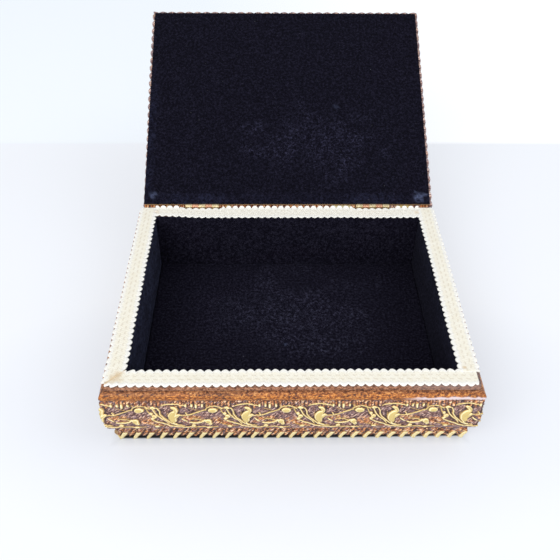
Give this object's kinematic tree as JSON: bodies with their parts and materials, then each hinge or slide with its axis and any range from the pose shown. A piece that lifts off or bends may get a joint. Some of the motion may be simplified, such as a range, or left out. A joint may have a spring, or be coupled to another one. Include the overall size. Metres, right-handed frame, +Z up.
{
  "type": "hinged keepsake box",
  "caption": "Shallow rectangular keepsake box of gilt relief moulding, lined in dark velvet, with a woven trim round the rim and a hinged, inlaid lid that leans back open.",
  "frame": {"origin": "centre of the underside of the base felt, on the surface that the box stands on", "axes": "+X to the right seen from the front, +Y to the hinged back, +Z up; the lid is open at rest"},
  "size_m": [0.2526, 0.3802, 0.1586],
  "materials": {
    "gilt_moulding": "stained and gilded composition relief on wood, satin",
    "copper_wood": "copper-brown paint, rubbed",
    "core_wood": "bare wood",
    "felt": "pressed felt, matt",
    "steel": "bright wire",
    "velvet": "short-pile velvet, black-blue",
    "gimp": "woven rayon gimp, cream",
    "brass": "polished, slightly tarnished",
    "walnut": "satin lacquer",
    "maple": "satin lacquer",
    "ebony": "satin lacquer",
    "bone": "polished bone",
    "pearl": "polished mother-of-pearl",
    "padauk": "satin lacquer"
  },
  "bodies": {
    "box": {"front_moulding": "gilt_moulding", "back_moulding": "gilt_moulding", "left_moulding": "gilt_moulding", "right_moulding": "gilt_moulding", "base_panel": "core_wood", "base_felt": "felt", "corner_pins": "steel", "base_pins": "steel", "front_liner": "velvet", "back_liner": "velvet", "left_liner": "velvet", "right_liner": "velvet", "floor_pad": "velvet", "front_gimp": "gimp", "back_gimp": "gimp", "left_gimp": "gimp", "right_gimp": "gimp", "left_hinge_box_leaf": "brass", "left_hinge_pin": "brass", "right_hinge_box_leaf": "brass", "right_hinge_pin": "brass", "hinge_box_screws": "brass"},
    "lid": {"left_hinge_lid_leaf": "brass", "right_hinge_lid_leaf": "brass", "hinge_lid_screws": "brass", "lid_panel": "core_wood", "lid_lining": "velvet", "lid_rope_front": "gilt_moulding", "lid_rope_left": "gilt_moulding", "lid_rope_right": "gilt_moulding", "lid_back_strip": "copper_wood", "inlay_border": "walnut", "inlay_outer_line": "maple", "inlay_chequer_dark": "ebony", "inlay_chequer_light": "bone", "inlay_inner_line": "maple", "inlay_field": "walnut", "star_points": "pearl", "star_bars": "ebony", "star_darts": "padauk", "star_heart": "padauk", "small_star_points": "pearl", "small_star_hearts": "ebony"}
  },
  "joints": [
    {"name": "lid_hinge", "type": "hinge", "parent": "box", "child": "lid", "pos_m": [0, 0.1, 0.06], "axis": [1, 0, 0], "range_deg": [0, 150]}
  ]
}
